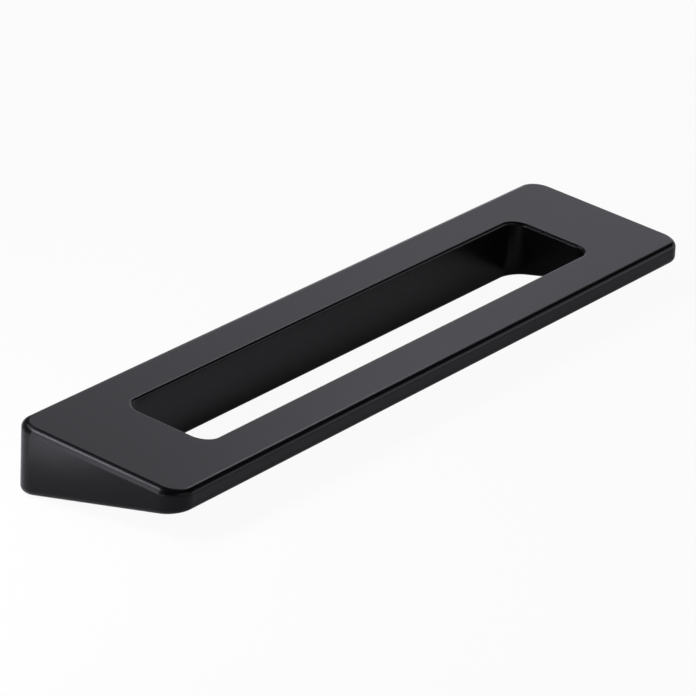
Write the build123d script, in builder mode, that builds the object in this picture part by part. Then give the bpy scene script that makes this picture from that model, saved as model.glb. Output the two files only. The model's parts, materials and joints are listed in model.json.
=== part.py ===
from build123d import *

import os

# Bow handle for a drawer or cabinet door: one casting, a wedge with a finger window.
# The origin is the centre of the mounting face, which lies in the XZ plane and faces +Y.
# +X runs along the handle, +Z is up, and the grip edge points to -Y, away from the furniture.
# The wedge is the same above and below its middle plane, so it can be fitted either way up.

# Screw holes, tapped M4 from the back
hole_spacing = 160.0
tap_drill = 3.3
hole_depth = 14.0
lead_in = 0.45  # width of the chamfer round each mouth
lead_in_angle = 90.0

# Wedge
end_overhang = 15.0  # screw hole to the nearer end
projection = 40.0  # mounting face to grip edge
back_height = 15.5  # at the mounting face, before its edges are rounded
grip_height = 4.4  # at the grip edge, before its edges are rounded
corner_radius = 5.0  # the four upright corners, seen from above
edge_radius = 1.5  # the outer edges of the two sloping faces

# Finger window
end_width = 23.6  # solid block left at each end
back_bar = 10.0  # rail against the furniture
grip_bar = 10.3  # rail under the fingers
window_radius = 3.5  # upright corners of the window
rim_radius = 0.8  # the window's edges, above and below

length = hole_spacing + 2 * end_overhang
window_length = length - 2 * end_width
window_depth = projection - back_bar - grip_bar
window_centre = -(back_bar + window_depth / 2)

with BuildPart() as handle:
    # The side profile, drawn out to both ends
    with BuildSketch(Plane.YZ):
        with BuildLine():
            Polyline(
                (0, -back_height / 2),
                (0, back_height / 2),
                (-projection, grip_height / 2),
                (-projection, -grip_height / 2),
                close=True,
            )
        make_face()
    extrude(amount=length / 2, both=True)
    fillet(handle.edges().filter_by(Axis.Z), corner_radius)

    # One radius rolls round the lower and the upper sloping face, corners included
    faces = handle.faces().sort_by(Axis.Z)
    fillet(faces[0].edges() + faces[-1].edges(), edge_radius)

    # The finger window, cut straight through, with a smaller radius round both rims
    with BuildSketch(Plane.XY):
        with Locations((0, window_centre)):
            RectangleRounded(window_length, window_depth, window_radius)
    extrude(amount=back_height, both=True, mode=Mode.SUBTRACT)
    fillet(handle.edges(Select.LAST).filter_by(Axis.Z, reverse=True), rim_radius)

    # The blind screw holes in the mounting face
    mounting_face = Plane(origin=(0, 0, 0), x_dir=(1, 0, 0), z_dir=(0, 1, 0))
    with Locations(mounting_face):
        with GridLocations(hole_spacing, 0, 2, 1):
            CounterSinkHole(tap_drill / 2, tap_drill / 2 + lead_in, hole_depth, lead_in_angle)

handle.part.label = "bow_handle"

os.makedirs("parts", exist_ok=True)
export_step(handle.part, "parts/bow_handle.step")
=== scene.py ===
import json
import math

import bpy
import numpy as np
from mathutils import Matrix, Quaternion, Vector


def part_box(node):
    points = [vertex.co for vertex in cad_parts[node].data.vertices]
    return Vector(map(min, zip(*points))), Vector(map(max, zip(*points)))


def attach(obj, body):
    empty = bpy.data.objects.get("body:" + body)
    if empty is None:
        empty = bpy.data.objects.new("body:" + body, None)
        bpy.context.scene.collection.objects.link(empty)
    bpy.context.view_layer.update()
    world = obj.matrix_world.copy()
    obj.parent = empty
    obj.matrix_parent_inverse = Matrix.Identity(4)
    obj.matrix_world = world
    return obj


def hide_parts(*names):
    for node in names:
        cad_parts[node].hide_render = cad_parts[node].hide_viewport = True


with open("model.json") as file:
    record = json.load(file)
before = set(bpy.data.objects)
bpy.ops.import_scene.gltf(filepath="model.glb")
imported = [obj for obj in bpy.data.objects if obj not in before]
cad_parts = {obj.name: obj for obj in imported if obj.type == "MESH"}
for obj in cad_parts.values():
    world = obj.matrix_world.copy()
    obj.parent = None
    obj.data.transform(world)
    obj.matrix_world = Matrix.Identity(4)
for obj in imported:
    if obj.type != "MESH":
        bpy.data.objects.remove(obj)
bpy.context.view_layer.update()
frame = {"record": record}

# Sizes, in metres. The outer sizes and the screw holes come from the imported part.
# The other sizes are the ones that the part was drawn with, and the thread is a usual M4 one.
MM = 0.001
NODE = "bow_handle"
low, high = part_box(NODE)
holes = next(m["dims"] for m in frame["record"]["mounts"] if m["kind"] == "bolt_pattern")

half_length = high.x
projection = -low.y
back_height = 15.5 * MM
grip_height = 4.4 * MM
corner_radius = 5.0 * MM
edge_radius = 1.5 * MM

end_width = 23.6 * MM
back_bar = 10.0 * MM
grip_bar = 10.3 * MM
window_radius = 3.5 * MM
rim_radius = 0.8 * MM

hole_x = holes["spacing_x_mm"] / 2 * MM
tap_radius = holes["hole_r_mm"] * MM
hole_depth = 14.0 * MM
lead_in = 0.45 * MM
thread_pitch = 0.7 * MM
thread_depth = 0.35 * MM
thread_runout = 2.0 * MM  # plain bore past the last full turn
thread_flat = 0.15  # share of a sharp thread's height that is cut off its crest, and off its root

slope = (back_height - grip_height) / 2 / projection
slant = math.hypot(1, slope)
top_normal = np.array([0, -slope, 1]) / slant

# How finely the surfaces are divided
FILLET_STEPS = 12
CORNER_STEPS = 14
WALL_ROWS = 16
SHORT_STEPS = 16
BACK_STEPS = (2, WALL_ROWS, 28, WALL_ROWS, 2)  # corner, hole, middle, hole, corner
LONG_STEPS = sum(BACK_STEPS)
MOUTH_RINGS = 4
ROWS_PER_TURN = 12

# The coat: its gloss and colour vary a little in soft clouds, and a fine orange peel covers it
COAT_IOR = 1.25
COAT_ROUGHNESS = (0.22, 0.26)
COAT_COLOURS = ((0.0026, 0.0026, 0.0029, 1), (0.0034, 0.0034, 0.0038, 1))
CLOUD_SCALE = 60.0
CLOUD_DETAIL = 3.0
PEEL_SCALE = 1800.0
PEEL_DETAIL = 2.0
PEEL_STRENGTH = 0.15
PEEL_HEIGHT = 0.02 * MM

# The floor: its paint, and the share of pure white mixed in for the camera and for reflections
FLOOR_SIZE = 8.0
FLOOR_PAINT = (0.86, 0.86, 0.86, 1)
FLOOR_SEEN_WHITE = 0.94
FLOOR_MIRRORED_WHITE = 0.1

# The photograph's camera, in degrees, metres and pixels of the photograph
CAMERA_AZIMUTH = -56.845
CAMERA_ELEVATION = 20.783
CAMERA_ROLL = 2.371
CAMERA_DISTANCE = 0.971594
CAMERA_TARGET = (-0.007927, -projection / 2, 0.001918)
FOCAL_PIXELS = 4730.184
IMAGE_PIXELS = 696
SENSOR_WIDTH = 36.0

# What the lamps face. Two small ones light the floor that the left end's wall mirrors.
MIDDLE = CAMERA_TARGET
LEFT_END = (low.x, -projection / 2, 0)
LEFT_FLOOR = (low.x - 0.0345, 0.01, low.z)
LEFT_FLOOR_FAR = (low.x - 0.105, 0.02, low.z)
FLOOR_LAMP_HEIGHT = 0.006

# Name, the point it faces, azimuth, elevation, distance, width and height, brightness
SOFTBOXES = (
    ("back", MIDDLE, 190, 54, 0.7, (0.44, 0.3), 3.0),
    ("right_back", MIDDLE, 114, 21, 0.7, (0.42, 0.51), 0.98),
    ("right_top", MIDDLE, 108, 40.5, 0.7, (0.112, 0.135), 5.6),
    ("left", LEFT_END, 242, 23, 0.16, (0.06, 0.142), 5.2),
    ("left_high", LEFT_END, 221, 57, 0.16, (0.062, 0.054), 15.5),
    ("left_floor", LEFT_FLOOR, 0, 90, FLOOR_LAMP_HEIGHT, (0.03, 0.02), 6.1),
    ("left_floor_far", LEFT_FLOOR_FAR, 0, 90, FLOOR_LAMP_HEIGHT, (0.05, 0.12), 15.0),
    ("front", MIDDLE, 0, 30, 1.0, (0.93, 0.44), 1.0),
    ("front_right", MIDDLE, 55, 8, 0.7, (0.5, 0.25), 1.0),
)
COOL_WHITE = (0.92, 0.905, 1.0)
HORIZON_LIGHT = 0.62
HORIZON_HEIGHT = 0.45  # sine of the elevation at which the horizon's light has faded out


def steps(start, end, count):
    """Evenly spaced values from start up to, and without, end."""
    return np.linspace(start, end, count, endpoint=False)


def rounded_rectangle(half_x, near_y, far_y, radius, far_x):
    """Points and outward normals round a rounded rectangle, anticlockwise from its near left corner.
    far_x places the points of the far side."""
    x, near, far = half_x - radius, near_y + radius, far_y - radius
    long_x = steps(-x, x, LONG_STEPS)
    short_y = steps(near, far, SHORT_STEPS)
    sides = [
        [(v, near_y) for v in long_x],
        [(half_x, v) for v in short_y],
        [(v, far_y) for v in far_x],
        [(-half_x, v) for v in near + far - short_y],
    ]
    corners = [(x, near), (x, far), (-x, far), (-x, near)]
    points, normals = [], []
    for turn, (side, corner) in enumerate(zip(sides, corners)):
        start = (turn - 1) * math.pi / 2
        outward = (round(math.cos(start)), round(math.sin(start)))
        points += side
        normals += [outward] * len(side)
        for angle in steps(start, start + math.pi / 2, CORNER_STEPS):
            outward = (math.cos(angle), math.sin(angle))
            points.append((corner[0] + radius * outward[0], corner[1] + radius * outward[1]))
            normals.append(outward)
    return np.array(points), np.array(normals)


def wall_rings(points, normals, radius):
    """Rings of points down an upright wall, from the upper sloping face to the lower one.
    A ball of that radius rolls along both ends of the wall, so the normals are exact."""
    flat = np.column_stack([normals, np.zeros(len(normals))])
    ball = np.column_stack([points, np.zeros(len(points))]) - radius * flat
    ball[:, 2] = back_height / 2 + slope * ball[:, 1] - radius * slant
    span = np.arccos(flat @ top_normal)[:, None]
    rings = []
    for share in np.linspace(0, 1, FILLET_STEPS + 1):
        facing = np.sin(span * (1 - share)) * top_normal + np.sin(span * share) * flat
        facing /= np.sin(span)
        rings.append((ball + radius * facing, facing))
    below = [(place * (1, 1, -1), facing * (1, 1, -1)) for place, facing in reversed(rings)]
    upper, lower = rings[-1][0], below[0][0]
    for share in np.linspace(0, 1, WALL_ROWS + 1)[1:-1]:
        rings.append((upper + share * (lower - upper), flat))
    return rings + below


class Skin:
    """Collects points and faces, with a normal at every corner of every face."""

    def __init__(self):
        self.points, self.faces, self.normals = [], [], []

    def add(self, places):
        """Adds points and gives their numbers."""
        first = len(self.points)
        self.points += [tuple(p) for p in places]
        return list(range(first, len(self.points)))

    def face(self, corners, normals):
        """Adds one face, from the numbers of its points and the normal at each."""
        self.faces.append(tuple(corners))
        self.normals += [tuple(n) for n in normals]

    def band(self, ring_a, ring_b, normals_a, normals_b, skip=()):
        """Quads between two closed rings. They face the side on which ring_a lies above ring_b
        and both run from left to right."""
        for i in range(len(ring_a)):
            if i not in skip:
                k = (i + 1) % len(ring_a)
                corners = (ring_a[i], ring_b[i], ring_b[k], ring_a[k])
                self.face(corners, (normals_a[i], normals_b[i], normals_b[k], normals_a[k]))

    def mesh(self, name):
        """A smooth mesh of the faces, without the points that no face uses."""
        used = sorted({i for face in self.faces for i in face})
        place = {old: new for new, old in enumerate(used)}
        points = [self.points[i] for i in used]
        faces = [[place[i] for i in face] for face in self.faces]
        mesh = bpy.data.meshes.new(name)
        mesh.from_pydata(points, [], faces)
        mesh.shade_smooth()
        mesh.normals_split_custom_set(self.normals)
        return mesh


def thread_groove(along, turn):
    """Depth of the thread's groove at a distance along the hole and a share of a turn."""
    full = np.clip((along - lead_in) / thread_pitch, 0, 1)
    full *= np.clip((hole_depth - thread_runout - along) / thread_pitch, 0, 1)
    wave = 1 - np.abs(2 * ((along / thread_pitch - turn) % 1) - 1)
    return thread_depth * full * np.clip((wave - thread_flat) / (1 - 2 * thread_flat), 0, 1)


def add_hole(skin, square_ring, x):
    """Joins a square ring of points in the mounting face to a chamfered, threaded blind hole.
    The ring runs clockwise from its upper left corner, seen from behind."""
    upper_left = math.radians(135)
    count = len(square_ring)
    turn = np.arange(count) / count
    angle = upper_left - 2 * math.pi * turn
    radial = np.column_stack([-np.cos(angle), np.zeros(count), np.sin(angle)])
    axis = np.array([x, 0, 0])
    outward = np.array([0, 1, 0])
    face_normals = [outward] * count

    mouth = axis + (tap_radius + lead_in) * radial
    square = np.array([skin.points[i] for i in square_ring])
    ring = square_ring
    for share in np.linspace(0, 1, MOUTH_RINGS + 1)[1:]:
        inner = skin.add(square + share * (mouth - square))
        skin.band(ring, inner, face_normals, face_normals)
        ring = inner

    chamfer_normals = (outward - radial) / math.sqrt(2)
    inner = skin.add(axis + tap_radius * radial - lead_in * outward)
    skin.band(ring, inner, chamfer_normals, chamfer_normals)

    # The bore's radius, with its slopes along the hole and round it for the normals
    rows = round((hole_depth - lead_in) / thread_pitch * ROWS_PER_TURN)
    depths = np.linspace(lead_in, hole_depth, rows + 1)
    radii = np.array([tap_radius + thread_groove(d, turn) for d in depths])
    along_slope = np.gradient(radii, depths, axis=0)
    wrapped = np.concatenate([radii[:, -1:], radii, radii[:, :1]], axis=1)
    round_slope = (wrapped[:, 2:] - wrapped[:, :-2]) / (4 * math.pi / count)
    tangent = np.column_stack([np.sin(angle), np.zeros(count), np.cos(angle)])
    ring, last = inner, None
    for d, radius, a, r in zip(depths, radii, along_slope, round_slope):
        facing = -radial - a[:, None] * outward - (r / radius)[:, None] * tangent
        facing /= np.linalg.norm(facing, axis=1)[:, None]
        if last is not None:
            inner = skin.add(axis + radius[:, None] * radial - d * outward)
            skin.band(ring, inner, last, facing)
            ring = inner
        last = facing
    skin.face(ring[::-1], face_normals)


def build_handle():
    """The casting's whole surface, in one closed mesh."""
    # The flat part of the mounting face, which reaches half_back above and below the middle
    half_back = back_height / 2 - slope * edge_radius - edge_radius * slant
    flat_end = half_length - corner_radius
    stops = [flat_end, hole_x + half_back, hole_x - half_back]
    stops += [-v for v in reversed(stops)]
    back_x = np.concatenate([steps(a, b, n) for a, b, n in zip(stops, stops[1:], BACK_STEPS)])
    outer_points, outer_normals = rounded_rectangle(half_length, -projection, 0, corner_radius, back_x)
    window_half = half_length - end_width
    window_back = steps(window_half - window_radius, window_radius - window_half, LONG_STEPS)
    window_points, window_normals = rounded_rectangle(
        window_half, grip_bar - projection, -back_bar, window_radius, window_back
    )

    skin = Skin()
    outer = [(skin.add(p), n) for p, n in wall_rings(outer_points, outer_normals, edge_radius)]
    window = [(skin.add(p), n) for p, n in wall_rings(window_points, -window_normals, rim_radius)]

    # The columns of the mounting face that the screw holes take up, left out of the wall
    back_start = LONG_STEPS + SHORT_STEPS + 2 * CORNER_STEPS
    first_columns = [back_start + sum(BACK_STEPS[:k]) for k in (1, 3)]
    hole_columns = {c + i for c in first_columns for i in range(WALL_ROWS)}
    wall_top, wall_bottom = FILLET_STEPS, FILLET_STEPS + WALL_ROWS
    for row in range(len(outer) - 1):
        (ring_a, normal_a), (ring_b, normal_b) = outer[row], outer[row + 1]
        skip = hole_columns if wall_top <= row < wall_bottom else ()
        skin.band(ring_a, ring_b, normal_a, normal_b, skip)
        (ring_a, normal_a), (ring_b, normal_b) = window[row], window[row + 1]
        skin.band(ring_b, ring_a, normal_b, normal_a)
    skin.band(window[0][0], outer[0][0], window[0][1], outer[0][1])
    skin.band(outer[-1][0], window[-1][0], outer[-1][1], window[-1][1])

    for first, x in zip(first_columns, (hole_x, -hole_x)):
        last = first + WALL_ROWS
        around = [outer[wall_top][0][i] for i in range(first, last)]
        around += [outer[row][0][last] for row in range(wall_top, wall_bottom)]
        around += [outer[wall_bottom][0][i] for i in range(last, first, -1)]
        around += [outer[row][0][first] for row in range(wall_bottom, wall_top, -1)]
        add_hole(skin, around, x)
    return skin.mesh("handle")


def new_material(name):
    """A material with nothing but an output, and what is needed to build it up."""
    material = bpy.data.materials.new(name)
    material.use_nodes = True
    nodes = material.node_tree.nodes
    nodes.clear()
    output = nodes.new("ShaderNodeOutputMaterial")
    return material, nodes, material.node_tree.links, output


def add_noise(nodes, links, place, scale, detail):
    """Noise that keeps its place on the object."""
    noise = nodes.new("ShaderNodeTexNoise")
    noise.inputs["Scale"].default_value = scale
    noise.inputs["Detail"].default_value = detail
    links.new(place.outputs["Object"], noise.inputs["Vector"])
    return noise.outputs["Fac"]


def add_maths(nodes, links, operation, *values):
    """The output of a new maths node. Each value is a number or another node's output."""
    maths = nodes.new("ShaderNodeMath")
    maths.operation = operation
    for socket, value in zip(maths.inputs, values):
        if isinstance(value, bpy.types.NodeSocket):
            links.new(value, socket)
        else:
            socket.default_value = value
    return maths.outputs["Value"]


def satin_black():
    """Smooth satin black coating: a fine, faint orange peel and slightly uneven gloss."""
    material, nodes, links, output = new_material("satin_black_coat")
    shader = nodes.new("ShaderNodeBsdfPrincipled")
    shader.inputs["IOR"].default_value = COAT_IOR
    links.new(shader.outputs["BSDF"], output.inputs["Surface"])
    place = nodes.new("ShaderNodeTexCoord")

    clouds = add_noise(nodes, links, place, CLOUD_SCALE, CLOUD_DETAIL)
    gloss = nodes.new("ShaderNodeMapRange")
    links.new(clouds, gloss.inputs["Value"])
    gloss.inputs["To Min"].default_value = COAT_ROUGHNESS[0]
    gloss.inputs["To Max"].default_value = COAT_ROUGHNESS[1]
    links.new(gloss.outputs["Result"], shader.inputs["Roughness"])

    colour = nodes.new("ShaderNodeMix")
    colour.data_type = "RGBA"
    colour.inputs["A"].default_value = COAT_COLOURS[0]
    colour.inputs["B"].default_value = COAT_COLOURS[1]
    links.new(clouds, colour.inputs["Factor"])
    links.new(colour.outputs["Result"], shader.inputs["Base Color"])

    bump = nodes.new("ShaderNodeBump")
    bump.inputs["Strength"].default_value = PEEL_STRENGTH
    bump.inputs["Distance"].default_value = PEEL_HEIGHT
    links.new(add_noise(nodes, links, place, PEEL_SCALE, PEEL_DETAIL), bump.inputs["Height"])
    links.new(bump.outputs["Normal"], shader.inputs["Normal"])
    return material


def pale_floor():
    """White floor. The camera sees it almost pure white, with a trace of the shadow.
    Reflections show its paint under the lamps, with a little pure white."""
    material, nodes, links, output = new_material("pale_floor")
    paint = nodes.new("ShaderNodeBsdfDiffuse")
    paint.inputs["Color"].default_value = FLOOR_PAINT
    glow = nodes.new("ShaderNodeEmission")
    glow.inputs["Strength"].default_value = 1.0
    path = nodes.new("ShaderNodeLightPath")
    mirrored = add_maths(
        nodes, links, "MAXIMUM", path.outputs["Is Glossy Ray"], path.outputs["Is Transmission Ray"]
    )
    mirrored = add_maths(nodes, links, "MULTIPLY", mirrored, FLOOR_MIRRORED_WHITE)
    seen = path.outputs["Is Camera Ray"]
    share = add_maths(nodes, links, "MULTIPLY_ADD", seen, FLOOR_SEEN_WHITE, mirrored)
    mix = nodes.new("ShaderNodeMixShader")
    links.new(share, mix.inputs["Fac"])
    links.new(paint.outputs["BSDF"], mix.inputs[1])
    links.new(glow.outputs["Emission"], mix.inputs[2])
    links.new(mix.outputs["Shader"], output.inputs["Surface"])
    return material


def add_object(name, data):
    """A new object in the scene."""
    item = bpy.data.objects.new(name, data)
    bpy.context.scene.collection.objects.link(item)
    return item


def direction(azimuth, elevation):
    """From the object towards an azimuth and elevation in degrees; azimuth 0 is -Y, 90 is +X."""
    a, e = math.radians(azimuth), math.radians(elevation)
    return Vector((math.sin(a) * math.cos(e), -math.cos(a) * math.cos(e), math.sin(e)))


def add_floor():
    """The floor that the handle lies on, far wider than the picture."""
    mesh = bpy.data.meshes.new("floor")
    edge = FLOOR_SIZE / 2
    corners = [(-edge, -edge, low.z), (edge, -edge, low.z), (edge, edge, low.z), (-edge, edge, low.z)]
    mesh.from_pydata(corners, [], [(0, 1, 2, 3)])
    mesh.materials.append(pale_floor())
    return add_object("floor", mesh)


def add_camera():
    """The photograph's view: the angles, distance and lens that fit the handle's outline."""
    back = direction(CAMERA_AZIMUTH, CAMERA_ELEVATION)
    roll = Quaternion((0, 0, 1), math.radians(CAMERA_ROLL))
    lens = bpy.data.cameras.new("camera")
    lens.sensor_width = SENSOR_WIDTH
    lens.lens = FOCAL_PIXELS / IMAGE_PIXELS * SENSOR_WIDTH
    camera = add_object("camera", lens)
    camera.location = Vector(CAMERA_TARGET) + CAMERA_DISTANCE * back
    camera.rotation_mode = "QUATERNION"
    camera.rotation_quaternion = back.to_track_quat("Z", "Y") @ roll
    bpy.context.scene.camera = camera


def add_softbox(name, aim, azimuth, elevation, distance, size, radiance):
    """A soft rectangular lamp that faces a point, with the given brightness of its surface."""
    lamp = bpy.data.lights.new(name, "AREA")
    lamp.shape = "RECTANGLE"
    lamp.size, lamp.size_y = size
    lamp.energy = radiance * math.pi * size[0] * size[1]
    lamp.color = COOL_WHITE
    box = add_object(name, lamp)
    box.visible_camera = False
    out = direction(azimuth, elevation)
    box.location = Vector(aim) + distance * out
    box.rotation_mode = "QUATERNION"
    box.rotation_quaternion = out.to_track_quat("Z", "Y")


def add_world():
    """Dim light from all round the horizon, fading out upwards. The camera sees it as white."""
    world = bpy.data.worlds.new("world")
    world.use_nodes = True
    nodes, links = world.node_tree.nodes, world.node_tree.links
    place = nodes.new("ShaderNodeTexCoord")
    axes = nodes.new("ShaderNodeSeparateXYZ")
    links.new(place.outputs["Generated"], axes.inputs["Vector"])
    fade = nodes.new("ShaderNodeMapRange")
    fade.interpolation_type = "SMOOTHSTEP"
    fade.inputs["From Max"].default_value = HORIZON_HEIGHT
    fade.inputs["To Min"].default_value = HORIZON_LIGHT
    fade.inputs["To Max"].default_value = 0.0
    links.new(axes.outputs["Z"], fade.inputs["Value"])
    seen = nodes.new("ShaderNodeLightPath").outputs["Is Camera Ray"]
    strength = add_maths(nodes, links, "MAXIMUM", fade.outputs["Result"], seen)
    background = nodes["Background"]
    background.inputs["Color"].default_value = (1, 1, 1, 1)
    links.new(strength, background.inputs["Strength"])
    bpy.context.scene.world = world


handle = add_object("handle", build_handle())
handle.data.materials.append(satin_black())
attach(handle, "root")
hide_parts(NODE)

floor = add_floor()

for softbox in SOFTBOXES:
    add_softbox(*softbox)

add_world()
add_camera()
bpy.context.scene.view_settings.view_transform = "Standard"
